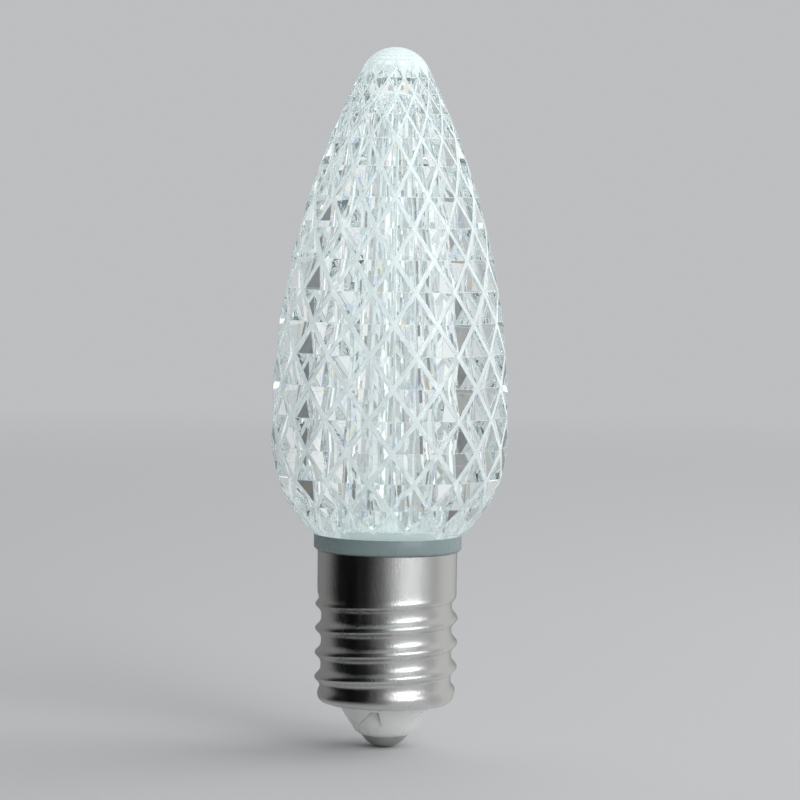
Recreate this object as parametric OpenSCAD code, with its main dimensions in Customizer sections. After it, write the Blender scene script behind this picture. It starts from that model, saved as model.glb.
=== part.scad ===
// Faceted christmas lamp with a small screw cap, standing on its centre contact.
// Z runs up the lamp's axis from the contact to the tip, and the front is towards -Y.

/* [Globe] */
// Diameter of the clear globe at its belly
globe_d = 27.2; // [26:0.1:29]
// Height of the long taper from the belly up to the tip
taper_h = 42.8; // [36:0.1:50]
// Radius of the rounded tip
nose_r = 4.2; // [3.4:0.1:5]
// Height of the straight band at the belly
belly_h = 2.3; // [1:0.1:6]
// Radius of the shoulder arc under the belly
shoulder_r = 13.9; // [13.5:0.1:16]
// Diameter of the foot that sits on the collar
foot_d = 17; // [16.8:0.1:18]

/* [Facets] */
// Number of diamonds in a row
diamonds_around = 16; // [12:1:20]
// Largest distance between two rows of crossings, along the surface
row_pitch = 3.62; // [3:0.02:5]
// Width of the bands between the diamonds, as a share of a diamond's width
band_share = 0.13; // [0.08:0.01:0.2]
// Depth of a belly diamond's middle below the globe's outline
facet_depth = 0.8; // [0.4:0.05:1.2]
// Height of the smooth foot below the lowest crossing
smooth_foot_h = 1.05; // [0.8:0.05:2]
// Height of the smooth cap over the last crossing
smooth_cap_h = 1.5; // [1:0.1:3]

/* [Bore] */
// Diameter of the bore where the light enters the globe
bore_mouth_d = 10.4; // [9.8:0.1:11]
// Diameter of the bore at its closed end
bore_end_d = 5; // [4:0.1:6]
// Thickness of the solid tip over the bore
tip_wall = 5.5; // [5:0.5:20]

/* [Neck collar] */
// Diameter of the collar band
collar_d = 17; // [16.8:0.1:18]
// Height of the collar band
collar_h = 1.8; // [1.2:0.1:4]
// Chamfer on the lower edge of the collar band
collar_chamfer = 0.25; // [0.1:0.05:0.4]
// Height of the ring that carries the board
spigot_h = 0.8; // [0.4:0.1:1.5]
// Diameter of the passage through the collar
passage_d = 11.4; // [11.2:0.1:11.8]
// Clearance between the collar and the pieces it fits into
collar_gap = 0.12; // [0.05:0.01:0.2]

/* [Screw shell] */
// Height of the shell from its bottom lip to its top edge
shell_h = 17.78; // [16.5:0.01:20]
// Thickness of the shell's sheet
shell_wall = 0.3; // [0.2:0.05:0.4]
// Outside diameter of the plain skirt over the thread
skirt_d = 16.14; // [16:0.01:16.5]
// Height of the plain skirt
skirt_h = 4.9; // [4.2:0.1:6]
// Diameter over the thread's crests
thread_major_d = 16.6; // [16.2:0.01:16.7]
// Diameter in the thread's roots
thread_minor_d = 15.1; // [14.9:0.01:15.6]
// Rise of the thread in one turn, nine turns to the inch
thread_pitch = 2.822; // [2.4:0.001:3.2]
// Outside diameter of the plain rim under the thread
rim_d = 15.82; // [15.6:0.01:16.2]
// Outside radius of the rolled bottom edge
rim_fillet = 1.05; // [0.8:0.05:1.3]
// Narrowness of the thread's crests: 1 is a plain wave
crest_power = 2.2; // [1:0.1:3]
// Diameter of the hole in the bottom lip
lip_d = 12.2; // [11.4:0.1:12.8]

/* [Insulator] */
// Height of the insulator that shows under the shell
insulator_h = 3.61; // [3.2:0.01:5]
// Diameter of the insulator's flange inside the shell
flange_d = 13.6; // [13.2:0.1:13.8]
// Height of the flange inside the shell
flange_h = 2; // [1.2:0.1:3]
// Least clearance between the flange and the shell around it
flange_gap = 0.05; // [0.03:0.01:0.2]
// Diameter of the insulator at the contact
nozzle_d = 6.3; // [6.2:0.1:7]
// Number of moulded notches around the insulator
notch_count = 3; // [0:1:4]
// Depth of a notch at its upper end
notch_depth = 0.45; // [0.2:0.05:0.6]

/* [Contact] */
// Diameter of the centre contact
contact_d = 5.44; // [4.8:0.02:5.8]
// Radius of the contact's domed face
dome_r = 3.16; // [3:0.02:4]
// Diameter of the flat at the end of the dome
contact_flat_d = 1.4; // [1:0.1:2]
// Diameter of the contact's shank
shank_d = 1.8; // [1.6:0.1:2.4]

/* [Light] */
// Diameter of the board
board_d = 12.5; // [12.3:0.1:12.8]
// Thickness of the board
board_t = 1; // [0.8:0.1:1.6]
// Length of a light emitting package
led_l = 3.5; // [3:0.1:3.6]
// Width of a light emitting package
led_w = 2.8; // [2.4:0.1:3]
// Height of a light emitting package
led_h = 0.7; // [0.5:0.05:1.2]
// Distance of each package's middle from the axis
led_radius = 2.75; // [2.6:0.05:2.9]
// Diameter of the resistor's body
resistor_d = 2.3; // [1.8:0.1:3]
// Length of the resistor's body
resistor_l = 6.3; // [5:0.1:8]
// Diameter of the resistor's leads
lead_d = 0.6; // [0.4:0.05:0.7]
// Diameter of the wire that feeds the shell
wire_d = 0.5; // [0.4:0.05:0.55]

/* [Hidden] */
$fn = 96;

// Radii
globe_r = globe_d / 2;
foot_r = foot_d / 2;
collar_r = collar_d / 2;
skirt_r = skirt_d / 2;
lip_r = lip_d / 2;
flange_r = flange_d / 2;
contact_r = contact_d / 2;
contact_flat_r = contact_flat_d / 2;
shank_r = shank_d / 2;
board_r = board_d / 2;
wire_r = wire_d / 2;
lead_r = lead_d / 2;
passage_r = passage_d / 2;

// Small distance that a cutter runs past a face
cut = 0.5;

// Heights from the contact up to the shell
dome_z = sqrt(pow(dome_r, 2) - pow(contact_flat_r, 2));
contact_h = dome_z - sqrt(pow(dome_r, 2) - pow(contact_r, 2));
shell_z = contact_h + insulator_h;
collar_z = shell_z + shell_h;
foot_z = collar_z + collar_h;

// Shoulder, belly, ogive and tip of the globe's outline
shoulder_h = sqrt(pow(shoulder_r, 2) - pow(foot_r + shoulder_r - globe_r, 2));
belly_z = foot_z + shoulder_h;
taper_z = belly_z + belly_h;
tip_z = taper_z + taper_h;
nose_z = tip_z - nose_r;
ogive_r = (pow(globe_r, 2) + pow(taper_h - nose_r, 2) - pow(nose_r, 2)) / (2 * (globe_r - nose_r));
tangent_z = nose_z + nose_r * (taper_h - nose_r) / (ogive_r - nose_r);

function arc_r(radius, drop) = sqrt(max(0, pow(radius, 2) - pow(drop, 2)));

function outline_r(z) =
    z < belly_z ? globe_r - shoulder_r + arc_r(shoulder_r, belly_z - z)
    : z < taper_z ? globe_r
    : z < tangent_z ? globe_r - ogive_r + arc_r(ogive_r, z - taper_z)
    : arc_r(nose_r, z - nose_z);

// Rows of crossings: as far apart as a diamond is wide, up to the row pitch
diamond_a = 360 / diamonds_around;
front_a = -90;
slope_step = 0.01;

function outline_slope(z) = atan((outline_r(z + slope_step) - outline_r(z)) / slope_step);

function row_step(z) =
    min(row_pitch, 2 * PI * outline_r(z) / diamonds_around) * cos(outline_slope(z));

row_z = [for (z = foot_z + smooth_foot_h; z < tip_z - smooth_cap_h; z = z + row_step(z)) z];
rows = len(row_z);

function gap_over(m) = m < rows - 1 ? row_z[m + 1] - row_z[m] : row_z[m] - row_z[m - 1];
function gap_under(m) = m > 0 ? row_z[m] - row_z[m - 1] : row_z[1] - row_z[0];
function crossing_a(m, i) = front_a + diamond_a * (i + (m % 2 == 0 ? 0.5 : 0));
function on_globe(a, z, depth = 0) =
    [(outline_r(z) - depth) * cos(a), (outline_r(z) - depth) * sin(a), z];

// Each crossing has four corners: left, bottom, right and top
LEFT = 0;
BOTTOM = 1;
RIGHT = 2;
TOP = 3;
band_a = band_share * diamond_a / 2;

function crossing_corners(m, i) =
    let (a = crossing_a(m, i), z = row_z[m])
    [on_globe(a - band_a, z), on_globe(a, z - band_share * gap_under(m)),
     on_globe(a + band_a, z), on_globe(a, z + band_share * gap_over(m))];

function corner(m, i, c) = 4 * (m * diamonds_around + i % diamonds_around) + c;
function right_over(m, i) = (i + (m + 1) % 2) % diamonds_around;
function left_over(m, i) = (i + diamonds_around - m % 2) % diamonds_around;

crossing_points = [for (m = [0:rows - 1], i = [0:diamonds_around - 1]) each crossing_corners(m, i)];

// The middle of each diamond, sunk below the outline in proportion to the radius there
function sink(z) = facet_depth * outline_r(z) / globe_r;

middle_points = [for (m = [1:rows - 2], i = [0:diamonds_around - 1])
    on_globe(crossing_a(m, i) + diamond_a / 2, row_z[m], sink(row_z[m]))];
middle_start = len(crossing_points);
function middle(m, i) = middle_start + (m - 1) * diamonds_around + i;

// Smooth rings under the lattice and over it
ring_sides = 2 * diamonds_around;
cap_steps = 6;
lattice_gap = 0.15;
low_ring_z = row_z[0] - band_share * gap_under(0) - lattice_gap;
cap_base_z = row_z[rows - 1] + band_share * gap_over(rows - 1) + lattice_gap;
cap_base_a = asin((cap_base_z - nose_z) / nose_r);
ring_z = [foot_z, low_ring_z,
          for (k = [0:cap_steps - 1])
              nose_z + nose_r * sin(cap_base_a + (90 - cap_base_a) * k / cap_steps)];
ring_points = [for (z = ring_z, q = [0:ring_sides - 1]) on_globe(front_a + q * diamond_a / 2, z)];
ring_start = middle_start + len(middle_points);
tip_index = ring_start + len(ring_points);
function ring(k, q) = ring_start + k * ring_sides + (q + ring_sides) % ring_sides;
function crossing_q(m, i) = 2 * i + (m + 1) % 2;

function quad(a, b, c, d) = [[a, b, c], [a, c, d]];

function crossing_faces(m, i) =
    quad(corner(m, i, LEFT), corner(m, i, TOP), corner(m, i, RIGHT), corner(m, i, BOTTOM));

function band_faces(m, i) =
    let (r = right_over(m, i), l = left_over(m, i))
    concat(
        quad(corner(m, i, TOP), corner(m + 1, r, LEFT), corner(m + 1, r, BOTTOM), corner(m, i, RIGHT)),
        quad(corner(m, i, LEFT), corner(m + 1, l, BOTTOM), corner(m + 1, l, RIGHT), corner(m, i, TOP)));

function diamond_faces(m, i) =
    let (side = right_over(m, i), centre = middle(m, i),
         rim = [corner(m, i, RIGHT), corner(m + 1, side, BOTTOM),
                corner(m, i + 1, LEFT), corner(m - 1, side, TOP)])
    [for (k = [0:3]) [rim[k], rim[(k + 1) % 4], centre]];

function foot_faces(i) =
    let (q = crossing_q(0, i), r = right_over(0, i), l = left_over(0, i), under = ring(1, q))
    [[under, corner(0, i, BOTTOM), corner(0, i, RIGHT)],
     [under, corner(0, i, RIGHT), corner(1, r, BOTTOM)],
     [under, corner(1, r, BOTTOM), ring(1, q + 1)],
     [under, ring(1, q - 1), corner(1, l, BOTTOM)],
     [under, corner(1, l, BOTTOM), corner(0, i, LEFT)],
     [under, corner(0, i, LEFT), corner(0, i, BOTTOM)]];

function cap_faces(i) =
    let (m = rows - 2, q = crossing_q(m, i), r = right_over(m, i), l = left_over(m, i),
         over = ring(2, q))
    [[over, corner(m + 1, r, LEFT), corner(m, i, TOP)],
     [over, corner(m + 1, r, TOP), corner(m + 1, r, LEFT)],
     [over, ring(2, q + 1), corner(m + 1, r, TOP)],
     [over, corner(m, i, TOP), corner(m + 1, l, RIGHT)],
     [over, corner(m + 1, l, RIGHT), corner(m + 1, l, TOP)],
     [over, corner(m + 1, l, TOP), ring(2, q - 1)]];

function ring_faces(k) =
    [for (q = [0:ring_sides - 1])
        each quad(ring(k + 1, q), ring(k + 1, q + 1), ring(k, q + 1), ring(k, q))];

globe_faces = concat(
    [for (m = [0:rows - 1], i = [0:diamonds_around - 1]) each crossing_faces(m, i)],
    [for (m = [0:rows - 2], i = [0:diamonds_around - 1]) each band_faces(m, i)],
    [for (m = [1:rows - 2], i = [0:diamonds_around - 1]) each diamond_faces(m, i)],
    [for (i = [0:diamonds_around - 1]) each foot_faces(i)],
    [for (i = [0:diamonds_around - 1]) each cap_faces(i)],
    ring_faces(0),
    [for (k = [2:cap_steps]) each ring_faces(k)],
    [for (q = [0:ring_sides - 1]) [ring(cap_steps + 1, q), tip_index, ring(cap_steps + 1, q + 1)]],
    [[for (q = [0:ring_sides - 1]) ring(0, q)]]);

// The board's seat in the globe's foot, and the bore over it
board_z = foot_z + spigot_h;
seat_z = board_z + board_t;
seat_r = board_r + collar_gap;
bore_end_r = bore_end_d / 2;
bore_end_z = tip_z - tip_wall - bore_end_r;

module globe() {
    color([0.85, 0.93, 0.93, 0.6])
    difference() {
        polyhedron(points = concat(crossing_points, middle_points, ring_points, [[0, 0, tip_z]]),
                   faces = globe_faces, convexity = 8);
        translate([0, 0, foot_z - cut])
            cylinder(r = seat_r, h = seat_z - foot_z + cut);
        translate([0, 0, seat_z - cut])
            cylinder(r = bore_mouth_d / 2, h = cut * 2);
        translate([0, 0, seat_z])
            cylinder(r1 = bore_mouth_d / 2, r2 = bore_end_r, h = bore_end_z - seat_z);
        translate([0, 0, bore_end_z])
            sphere(r = bore_end_r);
    }
}

// The collar's plug ends a little above the lower end of the shell's skirt
skirt_z = collar_z - skirt_h;
plug_over = 0.4;
plug_z = skirt_z + plug_over;
plug_r = skirt_r - shell_wall - collar_gap;
plug_chamfer = 0.3;
spigot_r = board_r - collar_gap;

// The feed wire runs down inside the collar, out through a slot and up beside the shell
feed_a = 150;
feed_r = 4;
feed_bend = 0.6;
feed_z = plug_z + 0.7;
feed_side_r = skirt_r - shell_wall - wire_r - 0.03;
feed_top_z = collar_z - 0.9;
feed_gap = 0.15;

module feed_slot() {
    slot_w = wire_d + 2 * feed_gap;
    slot_top = feed_z + wire_r + feed_gap;
    rotate([0, 0, feed_a])
        union() {
            translate([feed_r, -slot_w / 2, plug_z - cut])
                cube([plug_r, slot_w, slot_top - plug_z + cut]);
            translate([feed_side_r - wire_r - feed_gap, -slot_w / 2, plug_z - cut])
                cube([plug_r, slot_w, feed_top_z + feed_gap - plug_z + cut]);
        }
}

module neck_collar() {
    color([0.5, 0.57, 0.57])
    difference() {
        rotate_extrude()
            polygon([
                [passage_r, plug_z],
                [plug_r - plug_chamfer, plug_z],
                [plug_r, plug_z + plug_chamfer],
                [plug_r, collar_z],
                [collar_r - collar_chamfer, collar_z],
                [collar_r, collar_z + collar_chamfer],
                [collar_r, foot_z],
                [spigot_r, foot_z],
                [spigot_r, board_z],
                [passage_r, board_z]
            ]);
        feed_slot();
    }
}

// Rolled sheet shell: plain skirt, right-hand round thread, plain rim and turned-in lip
shell_sides = 40;
steps_per_turn = 10;
curl_steps = 4;
rim_z = shell_z + rim_fillet;
rim_r = max(rim_d / 2, flange_r + flange_gap + rim_fillet);
blend_h = 1.2;
thread_root_r = max(thread_minor_d / 2, flange_r + flange_gap + shell_wall);
thread_depth = (thread_major_d - thread_minor_d) / 2;
thread_start_z = rim_z + 2.18 * thread_pitch;
thread_steps = ceil((skirt_z - rim_z) * steps_per_turn / thread_pitch);

function ease(t) = let (u = min(1, max(0, t))) u * u * (3 - 2 * u);

function thread_r(z, a) =
    let (wave = (1 + cos(360 * (z - thread_start_z) / thread_pitch - a)) / 2)
    thread_root_r + thread_depth * pow(wave, crest_power);

function shell_r(z, a) =
    let (r = thread_r(z, a),
         to_skirt = 1 - ease((skirt_z - z) / blend_h),
         to_rim = 1 - ease((z - rim_z) / blend_h))
    r + to_skirt * (skirt_r - r) + to_rim * (rim_r - r);

wall_z = concat([collar_z], [for (k = [0:thread_steps]) skirt_z + (rim_z - skirt_z) * k / thread_steps]);

function ring_at(r, z) =
    [for (j = [0:shell_sides - 1]) let (a = 360 * j / shell_sides) [r * cos(a), r * sin(a), z]];

function wall_ring(z, inset) =
    [for (j = [0:shell_sides - 1])
        let (a = 360 * j / shell_sides, r = shell_r(z, a) - inset) [r * cos(a), r * sin(a), z]];

function curl_ring(k, radius) =
    let (a = 90 * k / curl_steps)
    ring_at(rim_r - rim_fillet + radius * cos(a), rim_z - radius * sin(a));

shell_rings = concat(
    [for (z = wall_z) wall_ring(z, 0)],
    [for (k = [1:curl_steps]) curl_ring(k, rim_fillet)],
    [ring_at(lip_r, shell_z)],
    [ring_at(lip_r, shell_z + shell_wall)],
    [for (k = [curl_steps:-1:1]) curl_ring(k, rim_fillet - shell_wall)],
    [for (k = [len(wall_z) - 1:-1:0]) wall_ring(wall_z[k], shell_wall)]);

function shell_index(k, j) = (k % len(shell_rings)) * shell_sides + j % shell_sides;

shell_faces = [for (k = [0:len(shell_rings) - 1], j = [0:shell_sides - 1])
    each quad(shell_index(k, j), shell_index(k, j + 1), shell_index(k + 1, j + 1), shell_index(k + 1, j))];

module screw_shell() {
    color([0.72, 0.72, 0.72])
        polyhedron(points = [for (r = shell_rings) each r], faces = shell_faces, convexity = 10);
}

// Insulator: a flared nozzle under the shell and a flange that sits on the shell's lip
neck_gap = 0.1;
shank_gap = 0.03;
nozzle_r = nozzle_d / 2;
nozzle_round = 0.4;
flare_r = 1.2;
flare_a = 33;
flange_z = shell_z + shell_wall;
neck_r = lip_r - neck_gap;
flange_top_z = flange_z + flange_h;
dish_d = 4.4;
dish_depth = 1;
flare_steps = 4;

// Centre of the flare's arc, which leaves the neck level and ends along the nozzle's cone
flare_x = neck_r + 0.1;
flare_z = shell_z - flare_r - 0.08;
cone_x = flare_x - flare_r * cos(flare_a);
cone_z = flare_z + flare_r * sin(flare_a);

function flare_point(k) =
    let (a = 90 + (90 - flare_a) * k / flare_steps)
    [flare_x + flare_r * cos(a), flare_z + flare_r * sin(a)];

function nozzle_x(z) = nozzle_r + (cone_x - nozzle_r) * (z - contact_h) / (cone_z - contact_h);

// A notch fades out downwards: its floor is a cone that leaves the nozzle's surface near the contact
notch_foot_z = contact_h + 0.35;
notch_top_z = shell_z - 0.45;
notch_fade = 0.12;
notch_turn = -30;

module notch() {
    reach = flange_r * 2;
    rotate([0, 0, front_a + notch_turn])
        difference() {
            rotate([90, 0, 90])
                linear_extrude(height = reach)
                    polygon([
                        [-nozzle_r * 0.79, notch_foot_z],
                        [nozzle_r * 0.27, notch_top_z],
                        [nozzle_r * 0.59, notch_top_z],
                        [nozzle_r * 0.47, notch_foot_z]
                    ]);
            translate([0, 0, notch_foot_z - cut])
                cylinder(r1 = nozzle_x(notch_foot_z) + notch_fade,
                         r2 = nozzle_x(notch_top_z) - notch_depth,
                         h = notch_top_z - notch_foot_z + 2 * cut);
        }
}

module insulator() {
    color([0.86, 0.86, 0.84])
    difference() {
        rotate_extrude()
            polygon(concat(
                [[shank_r + shank_gap, contact_h],
                 [nozzle_r - nozzle_round, contact_h],
                 [nozzle_x(contact_h + nozzle_round), contact_h + nozzle_round]],
                [for (k = [flare_steps:-1:0]) flare_point(k)],
                [[neck_r, shell_z - 0.02],
                 [neck_r, flange_z],
                 [flange_r, flange_z],
                 [flange_r, flange_top_z],
                 [dish_d, flange_top_z],
                 [dish_d / 2, flange_top_z - dish_depth],
                 [shank_r + shank_gap, flange_top_z - dish_depth]]));
        if (notch_count > 0)
            for (k = [0:notch_count - 1])
                rotate([0, 0, 360 * k / notch_count])
                    notch();
    }
}

// Domed contact with a shank that stands up through the insulator and grips the resistor's lead
shank_top_z = flange_top_z - dish_depth + 0.6;
grip_depth = 1.5;
grip_gap = 0.05;

module centre_contact() {
    color([0.75, 0.74, 0.7])
    difference() {
        union() {
            intersection() {
                translate([0, 0, dome_z])
                    sphere(r = dome_r);
                cylinder(r = dome_r, h = contact_h);
            }
            translate([0, 0, contact_h - cut])
                cylinder(r = shank_r, h = shank_top_z - contact_h + cut);
        }
        translate([0, 0, shank_top_z - grip_depth])
            cylinder(r = lead_r + grip_gap, h = grip_depth + cut);
    }
}

// Round board, clamped between the collar's ring and the globe
hole_gap = 0.1;
feed_x = feed_r * cos(feed_a);
feed_y = feed_r * sin(feed_a);

module led_board() {
    color([0.92, 0.93, 0.9])
    difference() {
        translate([0, 0, board_z])
            cylinder(r = board_r, h = board_t);
        translate([0, 0, board_z - cut])
            cylinder(r = lead_r + hole_gap, h = board_t + 2 * cut);
        translate([feed_x, feed_y, board_z - cut])
            cylinder(r = wire_r + hole_gap, h = board_t + 2 * cut);
    }
}

// Light emitting package with a round dish for its phosphor
dish_share = 0.41;
led_dish_depth = 0.18;

module led(place) {
    color([0.95, 0.9, 0.62])
    rotate([0, 0, 90 + 120 * place])
        translate([led_radius, 0, seat_z])
            difference() {
                translate([-led_w / 2, -led_l / 2, 0])
                    cube([led_w, led_l, led_h]);
                translate([0, 0, led_h - led_dish_depth])
                    cylinder(r = led_w * dish_share, h = led_dish_depth + cut);
            }
}

// Rectifier under the board: a flat body with four tinned feet
rectifier_l = 4.2;
rectifier_w = 3.4;
rectifier_h = 1.5;
rectifier_y = -2.95;
foot_w = 0.6;
foot_l = 0.4;
foot_t = 0.2;

module bridge_rectifier() {
    color([0.15, 0.15, 0.16])
    translate([0, rectifier_y, board_z - rectifier_h])
        union() {
            translate([-rectifier_l / 2, -rectifier_w / 2, 0])
                cube([rectifier_l, rectifier_w, rectifier_h]);
            for (x = [-1, 1], y = [-1, 1])
                translate([x * rectifier_l * 0.3 - foot_w / 2, y * (rectifier_w / 2 + foot_l / 2) - foot_l / 2, 0])
                    translate([0, 0, rectifier_h - foot_t])
                        cube([foot_w, foot_l, foot_t]);
        }
}

// Axial resistor on the lamp's axis, between the contact's shank and the board
resistor_z = (shank_top_z + board_z) / 2;
resistor_foot_z = shank_top_z - grip_depth;
lead_over = 0.35;
resistor_round = 0.4;

module series_resistor() {
    color([0.78, 0.66, 0.45])
    rotate_extrude()
        polygon([
            [0, resistor_foot_z],
            [lead_r, resistor_foot_z],
            [lead_r, resistor_z - resistor_l / 2],
            [resistor_d / 2 - resistor_round, resistor_z - resistor_l / 2],
            [resistor_d / 2, resistor_z - resistor_l / 2 + resistor_round],
            [resistor_d / 2, resistor_z + resistor_l / 2 - resistor_round],
            [resistor_d / 2 - resistor_round, resistor_z + resistor_l / 2],
            [lead_r, resistor_z + resistor_l / 2],
            [lead_r, seat_z + lead_over],
            [0, seat_z + lead_over]
        ]);
}

// Quarter of a bend in the wire, turned in the plane of X and Z
module wire_bend() {
    rotate([90, 0, 0])
        rotate_extrude(angle = 90)
            translate([feed_bend, 0])
                circle(r = wire_r, $fn = 32);
}

module shell_lead() {
    color([0.8, 0.79, 0.76])
    rotate([0, 0, feed_a])
        union() {
            translate([feed_r, 0, feed_z + feed_bend])
                cylinder(r = wire_r, h = seat_z + lead_over - feed_z - feed_bend, $fn = 32);
            translate([feed_r + feed_bend, 0, feed_z + feed_bend])
                rotate([0, 180, 0])
                    wire_bend();
            translate([feed_r + feed_bend, 0, feed_z])
                rotate([0, 90, 0])
                    cylinder(r = wire_r, h = feed_side_r - feed_r - 2 * feed_bend, $fn = 32);
            translate([feed_side_r - feed_bend, 0, feed_z + feed_bend])
                mirror([0, 0, 1])
                    wire_bend();
            translate([feed_side_r, 0, feed_z + feed_bend])
                cylinder(r = wire_r, h = feed_top_z - feed_z - feed_bend, $fn = 32);
        }
}

// Small dome of solder around a lead on the board
module solder_dome(lead, radius) {
    color([0.7, 0.7, 0.72])
    difference() {
        intersection() {
            sphere(r = radius);
            cylinder(r = radius, h = radius);
        }
        translate([0, 0, -cut])
            cylinder(r = lead, h = lead_over + cut);
    }
}

module solder_joint_1() {
    translate([0, 0, seat_z])
        solder_dome(lead_r, 0.8);
}

module solder_joint_2() {
    translate([feed_x, feed_y, seat_z])
        solder_dome(wire_r, 0.7);
}

globe();
neck_collar();
screw_shell();
insulator();
centre_contact();
led_board();
led(0);  // led_1
led(1);  // led_2
led(2);  // led_3
bridge_rectifier();
series_resistor();
shell_lead();
solder_joint_1();
solder_joint_2();
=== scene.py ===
import math
import bpy
import bmesh
from mathutils import Matrix, Vector


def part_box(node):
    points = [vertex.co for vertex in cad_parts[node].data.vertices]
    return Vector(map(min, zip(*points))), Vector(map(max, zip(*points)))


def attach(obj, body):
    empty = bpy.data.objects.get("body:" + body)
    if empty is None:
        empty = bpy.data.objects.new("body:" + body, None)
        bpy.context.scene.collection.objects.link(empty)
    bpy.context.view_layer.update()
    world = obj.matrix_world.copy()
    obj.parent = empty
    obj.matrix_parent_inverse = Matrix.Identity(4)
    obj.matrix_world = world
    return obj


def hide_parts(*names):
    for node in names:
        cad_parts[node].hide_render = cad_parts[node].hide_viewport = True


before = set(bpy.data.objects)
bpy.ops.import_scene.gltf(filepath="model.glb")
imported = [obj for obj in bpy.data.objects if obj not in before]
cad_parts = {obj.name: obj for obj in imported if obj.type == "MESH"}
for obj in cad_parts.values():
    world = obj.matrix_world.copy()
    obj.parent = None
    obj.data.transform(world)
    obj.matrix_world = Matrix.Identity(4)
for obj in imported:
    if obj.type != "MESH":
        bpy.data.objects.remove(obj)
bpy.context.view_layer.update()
mm = 0.001
scene = bpy.context.scene


# small helpers for modelling by hand

def deselectAll():
    if bpy.context.object and bpy.context.object.mode != "OBJECT":
        bpy.ops.object.mode_set(mode="OBJECT")
    bpy.ops.object.select_all(action="DESELECT")


def pick(piece):
    deselectAll()
    piece.select_set(True)
    bpy.context.view_layer.objects.active = piece


def copyOfNode(nodeName, pieceName):
    # a merged copy of a CAD node's mesh, to be finished and shown in its place
    piece = bpy.data.objects.new(pieceName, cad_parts[nodeName].data.copy())
    scene.collection.objects.link(piece)
    piece.data.materials.clear()
    pick(piece)
    bpy.ops.object.mode_set(mode="EDIT")
    bpy.ops.mesh.select_all(action="SELECT")
    bpy.ops.mesh.remove_doubles(threshold=0.001 * mm)
    bpy.ops.mesh.customdata_custom_splitnormals_clear()
    bpy.ops.object.mode_set(mode="OBJECT")
    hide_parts(nodeName)
    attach(piece, "root")
    return piece


def applyAll(piece):
    pick(piece)
    for modifier in list(piece.modifiers):
        bpy.ops.object.modifier_apply(modifier=modifier.name)


def smoothByAngle(piece, degrees):
    pick(piece)
    bpy.ops.object.shade_smooth_by_angle(angle=math.radians(degrees))


# node helpers for the materials

def newMaterial(name):
    material = bpy.data.materials.new(name)
    material.use_nodes = True
    tree = material.node_tree
    return material, tree, tree.nodes["Principled BSDF"]


def addNode(tree, kind, **settings):
    node = tree.nodes.new(kind)
    for key, value in settings.items():
        setattr(node, key, value)
    return node


def objectPoint(tree, scale=(1, 1, 1), turn=(0, 0, 0)):
    coords = addNode(tree, "ShaderNodeTexCoord")
    mapping = addNode(tree, "ShaderNodeMapping")
    mapping.inputs["Scale"].default_value = scale
    mapping.inputs["Rotation"].default_value = turn
    tree.links.new(coords.outputs["Object"], mapping.inputs["Vector"])
    return mapping.outputs["Vector"]


def noiseOn(tree, point, scale, detail=3.0, roughness=0.5):
    noise = addNode(tree, "ShaderNodeTexNoise")
    noise.inputs["Scale"].default_value = scale
    noise.inputs["Detail"].default_value = detail
    noise.inputs["Roughness"].default_value = roughness
    tree.links.new(point, noise.inputs["Vector"])
    return noise.outputs["Fac"]


def rangeOf(tree, value, fromLow, fromHigh, toLow, toHigh):
    node = addNode(tree, "ShaderNodeMapRange")
    node.inputs["From Min"].default_value = fromLow
    node.inputs["From Max"].default_value = fromHigh
    node.inputs["To Min"].default_value = toLow
    node.inputs["To Max"].default_value = toHigh
    tree.links.new(value, node.inputs["Value"])
    return node.outputs["Result"]


def bumpOn(tree, shader, height, strength, distance):
    bump = addNode(tree, "ShaderNodeBump")
    bump.inputs["Strength"].default_value = strength
    bump.inputs["Distance"].default_value = distance
    tree.links.new(height, bump.inputs["Height"])
    tree.links.new(bump.outputs["Normal"], shader.inputs["Normal"])


def rampOf(tree, value, stops, interpolation="LINEAR"):
    ramp = addNode(tree, "ShaderNodeValToRGB")
    ramp.color_ramp.interpolation = interpolation
    elements = ramp.color_ramp.elements
    elements.remove(elements[-1])
    elements[0].position, elements[0].color = stops[0]
    for place, colour in stops[1:]:
        elements.new(place).color = colour
    tree.links.new(value, ramp.inputs["Fac"])
    return ramp


def heightOf(tree):
    coords = addNode(tree, "ShaderNodeTexCoord")
    split = addNode(tree, "ShaderNodeSeparateXYZ")
    tree.links.new(coords.outputs["Object"], split.inputs["Vector"])
    return split.outputs["Z"]


# clear plastic of the globe: facets, the bands between them, and the bore wall

clearPlastic = {
    "ior": 1.56,
    "facetTint": (0.93, 0.985, 0.985, 1.0),
    "facetRoughness": 0.01,
    "bandTint": (0.85, 0.93, 0.935, 1.0),
    "bandRoughness": 0.14,
    "bandClear": 0.45,
    "footClear": 0.92,   # the plain foot below the lowest facets
    "bandFrom": 0.0285,
    "bandTo": 0.0310,
    "bandGloss": 0.15,
    # painted glow: emission in the facets, bands and bore wall stands in for the light of the packages
    # inside, rising with height to a near-white tip
    "glow": (0.84, 0.98, 0.99, 1.0),
    "facetGlow": (0.0, 0.062),   # at the foot and below the tip
    "bandGlow": (0.10, 0.31),
    "footFrom": 0.027,
    "boreGlow": 0.05,
    "boreRoughness": 0.06,
    "tipGlow": 0.40,
    "tipFrom": 0.0770,
    "tipTo": 0.0800,
    "paintedFringes": (
        (0.56, (0.94, 0.985, 0.98, 1.0)),
        (0.58, (0.62, 0.72, 1.00, 1.0)),
        (0.60, (0.94, 0.985, 0.98, 1.0)),
        (0.62, (1.00, 0.86, 0.62, 1.0)),
        (0.64, (0.94, 0.985, 0.98, 1.0)),
    ),
}


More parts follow.
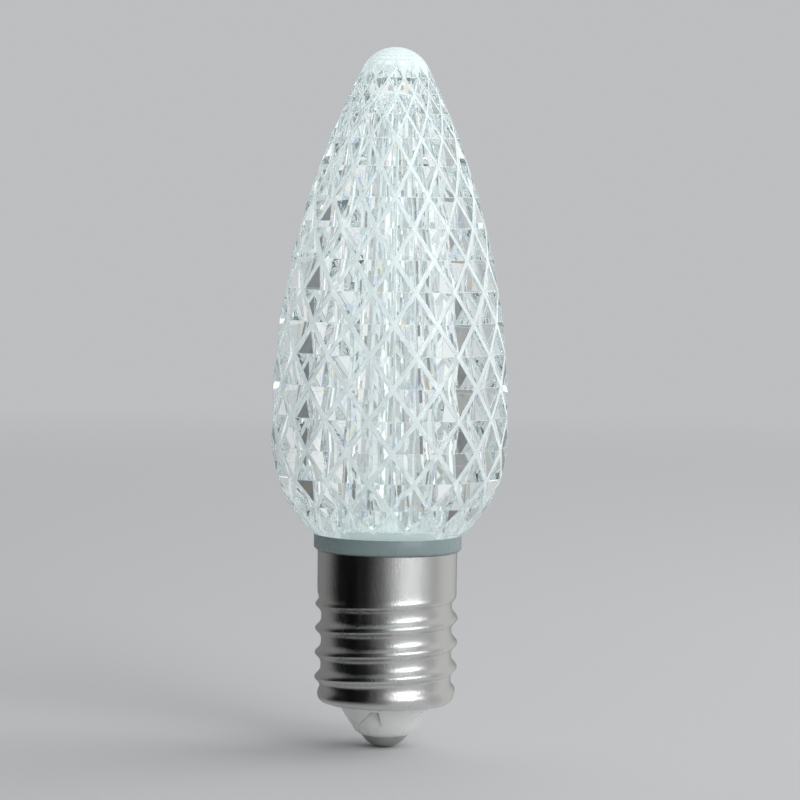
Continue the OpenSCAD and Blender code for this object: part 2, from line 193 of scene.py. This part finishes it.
def makeClear(name, tint, roughness, clear, glow, paintedFringes=False):
    material, tree, shader = newMaterial(name)
    shader.inputs["Base Color"].default_value = tint
    if paintedFringes:
        # painted colour fringes: narrow blue and amber slivers in the tint stand in for the cut facets
        # splitting the light
        slivers = noiseOn(tree, objectPoint(tree, (1, 1, 0.3)), 420.0, 2.0)
        ramp = rampOf(tree, slivers, clearPlastic["paintedFringes"])
        tree.links.new(ramp.outputs["Color"], shader.inputs["Base Color"])
    shader.inputs["Transmission Weight"].default_value = clear
    shader.inputs["IOR"].default_value = clearPlastic["ior"]
    grain = noiseOn(tree, objectPoint(tree), 900.0)
    tree.links.new(rangeOf(tree, grain, 0.3, 0.7, roughness * 0.7, roughness * 1.3),
                   shader.inputs["Roughness"])
    # painted glow, brighter with height and painted nearly white at the tip
    shader.inputs["Emission Color"].default_value = clearPlastic["glow"]
    body = rangeOf(tree, heightOf(tree), clearPlastic["footFrom"], clearPlastic["tipFrom"], *glow)
    tip = rangeOf(tree, heightOf(tree), clearPlastic["tipFrom"], clearPlastic["tipTo"],
                  0.0, clearPlastic["tipGlow"] - glow[1])
    both = addNode(tree, "ShaderNodeMath", operation="ADD")
    tree.links.new(body, both.inputs[0])
    tree.links.new(tip, both.inputs[1])
    tree.links.new(both.outputs["Value"], shader.inputs["Emission Strength"])
    return material, shader


def makeBore():
    # the wall that the light packages shine on; painted glow: emission in streaks along the axis, fading out
    # higher up
    material, tree, shader = newMaterial("boreClear")
    shader.inputs["Base Color"].default_value = clearPlastic["facetTint"]
    shader.inputs["Transmission Weight"].default_value = 1.0
    shader.inputs["IOR"].default_value = clearPlastic["ior"]
    shader.inputs["Roughness"].default_value = clearPlastic["boreRoughness"]
    shader.inputs["Emission Color"].default_value = clearPlastic["glow"]
    streaks = noiseOn(tree, objectPoint(tree, (1, 1, 0.05)), 900.0, 4.0, 0.6)
    fade = addNode(tree, "ShaderNodeMath", operation="MULTIPLY")
    tree.links.new(rangeOf(tree, streaks, 0.42, 0.62, 0.0, clearPlastic["boreGlow"]), fade.inputs[0])
    tree.links.new(rangeOf(tree, heightOf(tree), 0.058, 0.066, 1.0, 0.0), fade.inputs[1])
    tree.links.new(fade.outputs["Value"], shader.inputs["Emission Strength"])
    return material


facetClear, _ = makeClear("facetClear", clearPlastic["facetTint"], clearPlastic["facetRoughness"], 1.0,
                          clearPlastic["facetGlow"], True)
bandClear, bandShader = makeClear("bandClear", clearPlastic["bandTint"], clearPlastic["bandRoughness"],
                                  clearPlastic["bandClear"], clearPlastic["bandGlow"])
bandShader.inputs["Specular IOR Level"].default_value = clearPlastic["bandGloss"]
bandTree = bandClear.node_tree
bandTree.links.new(rangeOf(bandTree, heightOf(bandTree), clearPlastic["bandFrom"], clearPlastic["bandTo"],
                           clearPlastic["footClear"], clearPlastic["bandClear"]),
                   bandShader.inputs["Transmission Weight"])
boreClear = makeBore()

globeLook = {
    "edgeRound": 0.06 * mm,
    "stripArea": 0.32 * mm * mm,
    "edgeAngle": 7.0,
    "boreFoot": (26.4 * mm, 5.6 * mm),   # height and reach of the line that parts bore and outside
    "boreEnd": (75.2 * mm, 2.9 * mm),
    "seatTop": 27.0 * mm,
}


def inBore(point):
    footHeight, footReach = globeLook["boreFoot"]
    endHeight, endReach = globeLook["boreEnd"]
    share = (point.z - footHeight) / (endHeight - footHeight)
    reach = footReach + share * (endReach - footReach)
    return share < 1.0 and math.hypot(point.x, point.y) < reach


def frostStrips(piece):
    # the bevel's strips come out clear; those between two facets of one diamond, and those inside the
    # bands, are frosted like the bands
    mesh = bmesh.new()
    mesh.from_mesh(piece.data)
    for step in range(2):
        strips = []
        for face in mesh.faces:
            if face.material_index != 0 or face.calc_area() > globeLook["stripArea"]:
                continue
            longest = sorted(face.edges, key=lambda edge: -edge.calc_length())[:2]
            beside = [other for edge in longest for other in edge.link_faces if other is not face]
            kinds = {other.material_index for other in beside}
            facetsBeside = kinds == {0} and min(o.calc_area() for o in beside) > globeLook["stripArea"]
            if kinds == {1} or facetsBeside:
                strips.append(face)
        for face in strips:
            face.material_index = 1
    mesh.to_mesh(piece.data)
    mesh.free()


def dressGlobe():
    piece = copyOfNode("globe", "faceted_globe")
    for material in (facetClear, bandClear, boreClear):
        piece.data.materials.append(material)
    mesh = bmesh.new()
    mesh.from_mesh(piece.data)
    for face in mesh.faces:
        face.material_index = 2 if inBore(face.calc_center_median()) else 1
    for vert in mesh.verts:
        if vert.co.z > globeLook["seatTop"] and len(vert.link_edges) == 4 and not inBore(vert.co):
            for face in vert.link_faces:
                face.material_index = 0
    mesh.to_mesh(piece.data)
    mesh.free()
    bevel = piece.modifiers.new("edges", "BEVEL")
    bevel.width = globeLook["edgeRound"]
    bevel.segments = 1
    bevel.material = 0
    bevel.limit_method = "ANGLE"
    bevel.angle_limit = math.radians(globeLook["edgeAngle"])
    applyAll(piece)
    frostStrips(piece)
    smoothByAngle(piece, 3.0)
    return piece


globe = dressGlobe()
print("globe done")


# rolled screw shell

shellLook = {
    "base": (0.78, 0.78, 0.77, 1.0),
    "roughLow": 0.16,
    "roughHigh": 0.30,
    "smoothing": 1,
}


def makeShellMetal():
    material, tree, shader = newMaterial("nickelShell")
    shader.inputs["Base Color"].default_value = shellLook["base"]
    shader.inputs["Metallic"].default_value = 1.0
    streaks = noiseOn(tree, objectPoint(tree, (1, 1, 0.12)), 700.0, 4.0)
    tree.links.new(rangeOf(tree, streaks, 0.3, 0.7, shellLook["roughLow"], shellLook["roughHigh"]),
                   shader.inputs["Roughness"])
    marks = noiseOn(tree, objectPoint(tree), 5000.0, 4.0, 0.7)
    bumpOn(tree, shader, marks, 0.5, 0.00006)
    return material


def dressShell():
    piece = copyOfNode("screw_shell", "rolled_shell")
    pick(piece)
    bpy.ops.object.mode_set(mode="EDIT")
    bpy.ops.mesh.select_all(action="SELECT")
    bpy.ops.mesh.tris_convert_to_quads(face_threshold=math.radians(40), shape_threshold=math.radians(60))
    bpy.ops.object.mode_set(mode="OBJECT")
    piece.data.materials.append(makeShellMetal())
    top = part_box("screw_shell")[1][2]
    mesh = bmesh.new()
    mesh.from_mesh(piece.data)
    crease = mesh.edges.layers.float.new("crease_edge")
    for edge in mesh.edges:
        if min(v.co.z for v in edge.verts) > top - 0.01 * mm:
            edge[crease] = 0.8
    mesh.to_mesh(piece.data)
    mesh.free()
    smooth = piece.modifiers.new("rolled", "SUBSURF")
    smooth.levels = shellLook["smoothing"]
    smooth.render_levels = shellLook["smoothing"]
    applyAll(piece)
    smoothByAngle(piece, 50.0)
    return piece


shell = dressShell()
print("shell done")


# collar, insulator and contact

collarLook = {"base": (0.29, 0.37, 0.375, 1.0), "rough": 0.3}
insulatorLook = {"base": (0.92, 0.92, 0.90, 1.0), "rough": 0.3, "notchReach": 1.4 * mm,
                 "notchPaintedShade": (0.16, 0.16, 0.16, 1.0), "shadeFrom": 0.45, "shadeTo": 0.90}
contactLook = {"base": (0.50, 0.50, 0.49, 1.0), "rough": 0.20}


def makePlastic(name, look, grainScale, bump):
    material, tree, shader = newMaterial(name)
    shader.inputs["Base Color"].default_value = look["base"]
    grain = noiseOn(tree, objectPoint(tree), grainScale, 4.0)
    tree.links.new(rangeOf(tree, grain, 0.3, 0.7, look["rough"] * 0.8, look["rough"] * 1.2),
                   shader.inputs["Roughness"])
    bumpOn(tree, shader, grain, bump, 0.00003)
    return material, tree, shader


def roundedCopy(nodeName, pieceName, material, width):
    piece = copyOfNode(nodeName, pieceName)
    piece.data.materials.append(material)
    bevel = piece.modifiers.new("edges", "BEVEL")
    bevel.width = width
    bevel.segments = 2
    bevel.limit_method = "ANGLE"
    bevel.angle_limit = math.radians(35)
    applyAll(piece)
    smoothByAngle(piece, 35.0)
    return piece


collarPlastic, _, _ = makePlastic("collarPlastic", collarLook, 700.0, 0.02)
insulatorPlastic, insulatorTree, insulatorShader = makePlastic("insulatorPlastic", insulatorLook, 900.0, 0.02)
# painted shade: ambient occlusion darkens the base colour in the moulded notches
cover = addNode(insulatorTree, "ShaderNodeAmbientOcclusion", samples=8, only_local=True)
cover.inputs["Distance"].default_value = insulatorLook["notchReach"]
shade = rampOf(insulatorTree, cover.outputs["AO"], ((insulatorLook["shadeFrom"], insulatorLook["notchPaintedShade"]),
                                                    (insulatorLook["shadeTo"], insulatorLook["base"])))
insulatorTree.links.new(shade.outputs["Color"], insulatorShader.inputs["Base Color"])
contactMetal, _, contactShader = makePlastic("contactMetal", contactLook, 1100.0, 0.04)
contactShader.inputs["Metallic"].default_value = 1.0
collar = roundedCopy("neck_collar", "collar_moulding", collarPlastic, 0.06 * mm)
insulator = roundedCopy("insulator", "insulator_moulding", insulatorPlastic, 0.05 * mm)
contact = roundedCopy("centre_contact", "contact_button", contactMetal, 0.05 * mm)
print("collar, insulator and contact done")


# pieces inside

insideLooks = {
    "led_board": ("boardMask", {"base": (0.80, 0.82, 0.78, 1.0), "rough": 0.35}),
    "bridge_rectifier": ("rectifierBody", {"base": (0.02, 0.02, 0.02, 1.0), "rough": 0.45}),
    "series_resistor": ("resistorLacquer", {"base": (0.50, 0.36, 0.18, 1.0), "rough": 0.3}),
    "shell_lead": ("tinnedWire", {"base": (0.7, 0.69, 0.66, 1.0), "rough": 0.25}),
    "solder_joint_1": ("solder", {"base": (0.6, 0.6, 0.62, 1.0), "rough": 0.3}),
    "solder_joint_2": ("solder", {"base": (0.6, 0.6, 0.62, 1.0), "rough": 0.3}),
}


def paint(nodeName, material):
    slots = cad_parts[nodeName].material_slots
    if len(slots) == 0:
        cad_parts[nodeName].data.materials.append(material)
    for materialSlot in slots:
        materialSlot.material = material


for nodeName, (materialName, look) in insideLooks.items():
    made, _, shader = makePlastic(materialName, look, 800.0, 0.1)
    if materialName in ("tinnedWire", "solder"):
        shader.inputs["Metallic"].default_value = 1.0
    paint(nodeName, made)

emitter, emitterTree, emitterShader = makePlastic(
    "phosphor", {"base": (0.9, 0.8, 0.4, 1.0), "rough": 0.5}, 900.0, 0.1)
emitterShader.inputs["Emission Color"].default_value = (0.85, 0.95, 1.0, 1.0)
emitterShader.inputs["Emission Strength"].default_value = 1.2
for nodeName in ("led_1", "led_2", "led_3"):
    paint(nodeName, emitter)
print("inside done")


# floor, backdrop and lights

studio = {
    "floorColour": (0.76, 0.77, 0.78, 1.0),
    "farColour": (0.507, 0.518, 0.528, 1.0),
    "fadeFrom": 0.12,
    "fadeTo": 0.55,
    "fillStrength": 0.47,
    "ringRadius": 0.075,
    "ringLift": 0.0004,
    "ringFade": 0.010,
}

# what the metal and the plastic's surface reflect
reflectedLook = {
    "height": 0.20,
    "groundFrom": 0.010,
    "blend": "LINEAR",
    "stops": (
        (-180, 0.30, 1.0),
        (-166, 0.22, 1.0),
        (-106, 0.20, 1.0),
        (-96, 0.004, 1.0),
        (-34, 0.004, 1.0),
        (-20, 0.05, 1.0),
        (2, 0.20, 1.0),
        (12, 0.60, 0.0),
        (60, 0.50, 0.0),
        (66, 0.38, 1.0),
        (86, 0.38, 1.0),
        (96, 0.58, 1.0),
        (140, 0.56, 1.0),
        (156, 0.30, 1.0),
    ),
}

# what is seen through the clear plastic behind the lamp, the narrow dark stripes for the facets' contrast
seenThroughLook = {
    "height": 0.16,
    "groundFrom": 0.065,
    "blend": "CONSTANT",
    "stops": (
        (-180, 0.85, 1.0),
        (-175, 0.17, 1.0),
        (-171, 0.64, 1.0),
        (-166, 0.46, 1.0),
        (-152, 0.64, 1.0),
        (-146, 1.25, 1.0),
        (-136, 0.20, 1.0),
        (-128, 0.88, 1.0),
        (-116, 0.50, 0.0),
        (112, 0.88, 1.0),
        (122, 0.20, 1.0),
        (130, 1.25, 1.0),
        (140, 0.74, 1.0),
        (144, 0.58, 1.0),
        (156, 0.74, 1.0),
        (161, 0.17, 1.0),
        (165, 0.85, 1.0),
    ),
}


def makeFloor():
    deselectAll()
    bpy.ops.mesh.primitive_circle_add(vertices=96, radius=3.0, fill_type="NGON")
    floor = bpy.context.object
    floor.name = "floor"
    material, tree, shader = newMaterial("paleFloor")
    shader.inputs["Base Color"].default_value = studio["floorColour"]
    shader.inputs["Roughness"].default_value = 0.7
    shader.inputs["Specular IOR Level"].default_value = 0.0
    far = addNode(tree, "ShaderNodeEmission")
    far.inputs["Color"].default_value = studio["farColour"]
    length = addNode(tree, "ShaderNodeVectorMath", operation="LENGTH")
    tree.links.new(objectPoint(tree), length.inputs[0])
    fade = rangeOf(tree, length.outputs["Value"], studio["fadeFrom"], studio["fadeTo"], 0.0, 1.0)
    blend = addNode(tree, "ShaderNodeMixShader")
    tree.links.new(fade, blend.inputs["Fac"])
    tree.links.new(shader.outputs["BSDF"], blend.inputs[1])
    tree.links.new(far.outputs["Emission"], blend.inputs[2])
    tree.links.new(blend.outputs["Shader"], tree.nodes["Material Output"].inputs["Surface"])
    floor.data.materials.append(material)


def addRing(name, look, behind):
    # an upright ring round the lamp, with a floor from groundFrom outwards, that only reflections see,
    # or only clear plastic; its stops hold the angle from the front to the right, brightness and cover
    deselectAll()
    bpy.ops.mesh.primitive_cylinder_add(vertices=96, radius=studio["ringRadius"], depth=look["height"],
                                        location=(0, 0, look["height"] / 2 + studio["ringLift"]))
    bpy.ops.object.transform_apply(location=True, rotation=True, scale=True)
    ring = bpy.context.object
    ring.name = name
    mesh = bmesh.new()
    mesh.from_mesh(ring.data)
    lids = [face for face in mesh.faces if face.normal.z > 0.5]
    bmesh.ops.delete(mesh, geom=lids, context="FACES_ONLY")
    mesh.to_mesh(ring.data)
    mesh.free()
    material, tree, shader = newMaterial(name)
    shader.inputs["Base Color"].default_value = (0.0, 0.0, 0.0, 1.0)
    shader.inputs["Specular IOR Level"].default_value = 0.0
    shader.inputs["Emission Color"].default_value = (1.0, 1.0, 1.0, 1.0)
    split = addNode(tree, "ShaderNodeSeparateXYZ")
    tree.links.new(objectPoint(tree, (1, -1, 1)), split.inputs["Vector"])
    angle = addNode(tree, "ShaderNodeMath", operation="ARCTAN2")
    tree.links.new(split.outputs["X"], angle.inputs[0])
    tree.links.new(split.outputs["Y"], angle.inputs[1])
    turn = rangeOf(tree, angle.outputs["Value"], -math.pi, math.pi, 0.0, 1.0)
    stops = [((degrees + 180) / 360, (shade, shade, shade, cover)) for degrees, shade, cover in look["stops"]]
    ramp = rampOf(tree, turn, stops, look["blend"])
    tree.links.new(ramp.outputs["Color"], shader.inputs["Emission Strength"])
    length = addNode(tree, "ShaderNodeVectorMath", operation="LENGTH")
    tree.links.new(objectPoint(tree, (1, 1, 0)), length.inputs[0])
    ground = rangeOf(tree, length.outputs["Value"], look["groundFrom"],
                     look["groundFrom"] + studio["ringFade"], 0.0, 1.0)
    cover = addNode(tree, "ShaderNodeMath", operation="MULTIPLY")
    tree.links.new(ramp.outputs["Alpha"], cover.inputs[0])
    tree.links.new(ground, cover.inputs[1])
    tree.links.new(cover.outputs["Value"], shader.inputs["Alpha"])
    ring.data.materials.append(material)
    ring.visible_camera = False
    ring.visible_diffuse = False
    ring.visible_shadow = False
    ring.visible_transmission = behind
    ring.visible_glossy = not behind


def addPanel(name, angle, distance, height, size, radiance, mirrored=False):
    # a soft panel that faces the lamp; the angle runs from the front to the right
    turn = math.radians(angle)
    light = bpy.data.lights.new(name, "AREA")
    light.shape = "RECTANGLE"
    light.size = size[0]
    light.size_y = size[1]
    light.energy = radiance * math.pi * size[0] * size[1]
    lamp = bpy.data.objects.new(name, light)
    scene.collection.objects.link(lamp)
    lamp.visible_camera = False
    lamp.visible_glossy = mirrored
    lamp.visible_transmission = False
    lamp.location = (distance * math.sin(turn), -distance * math.cos(turn), height)
    aim = Vector((0, 0, 0.04)) - lamp.location
    lamp.rotation_euler = aim.to_track_quat("-Z", "Y").to_euler()


makeFloor()
addRing("reflectedRing", reflectedLook, False)
addRing("seenThroughRing", seenThroughLook, True)

world = bpy.data.worlds.new("studio")
scene.world = world
world.use_nodes = True
worldTree = world.node_tree
backdrop = worldTree.nodes["Background"]
backdrop.inputs["Color"].default_value = studio["farColour"]
rays = addNode(worldTree, "ShaderNodeLightPath")
seen = rays.outputs["Is Camera Ray"]
for kind in ("Is Glossy Ray", "Is Transmission Ray"):
    either = addNode(worldTree, "ShaderNodeMath", operation="MAXIMUM")
    worldTree.links.new(seen, either.inputs[0])
    worldTree.links.new(rays.outputs[kind], either.inputs[1])
    seen = either.outputs["Value"]
worldTree.links.new(rangeOf(worldTree, seen, 0.0, 1.0, studio["fillStrength"], 1.0),
                    backdrop.inputs["Strength"])

addPanel("stripPanel", 38, 0.60, 0.31, (0.40, 0.56), 2.3, mirrored=True)
addPanel("sidePanel", 105, 0.60, 0.31, (0.64, 0.56), 1.3)
addPanel("topPanel", 150, 0.20, 0.50, (0.5, 0.5), 0.9)


# camera at the photograph's viewing angle

viewPoint = {
    "distance": 0.45,
    "height": 0.070,
    "aimHeight": 0.0401,
    "azimuth": 1.25,
    "roll": 1.0,
    "metresWide": 0.0919,   # width of the picture at the lamp's axis
    "axisShift": 9.8 / 800,
}


def makeCamera():
    data = bpy.data.cameras.new("camera")
    camera = bpy.data.objects.new("camera", data)
    scene.collection.objects.link(camera)
    away = math.radians(viewPoint["azimuth"])
    camera.location = (-viewPoint["distance"] * math.sin(away), -viewPoint["distance"] * math.cos(away),
                       viewPoint["height"])
    aim = Vector((0, 0, viewPoint["aimHeight"])) - camera.location
    roll = Matrix.Rotation(math.radians(viewPoint["roll"]), 3, "Z")
    camera.rotation_euler = (aim.to_track_quat("-Z", "Y").to_matrix() @ roll).to_euler()
    data.sensor_width = 36.0
    data.lens = 36.0 * aim.length / viewPoint["metresWide"]
    data.shift_x = viewPoint["axisShift"]
    data.clip_start = 0.01
    data.clip_end = 20.0
    scene.camera = camera


makeCamera()
scene.view_settings.view_transform = "Standard"
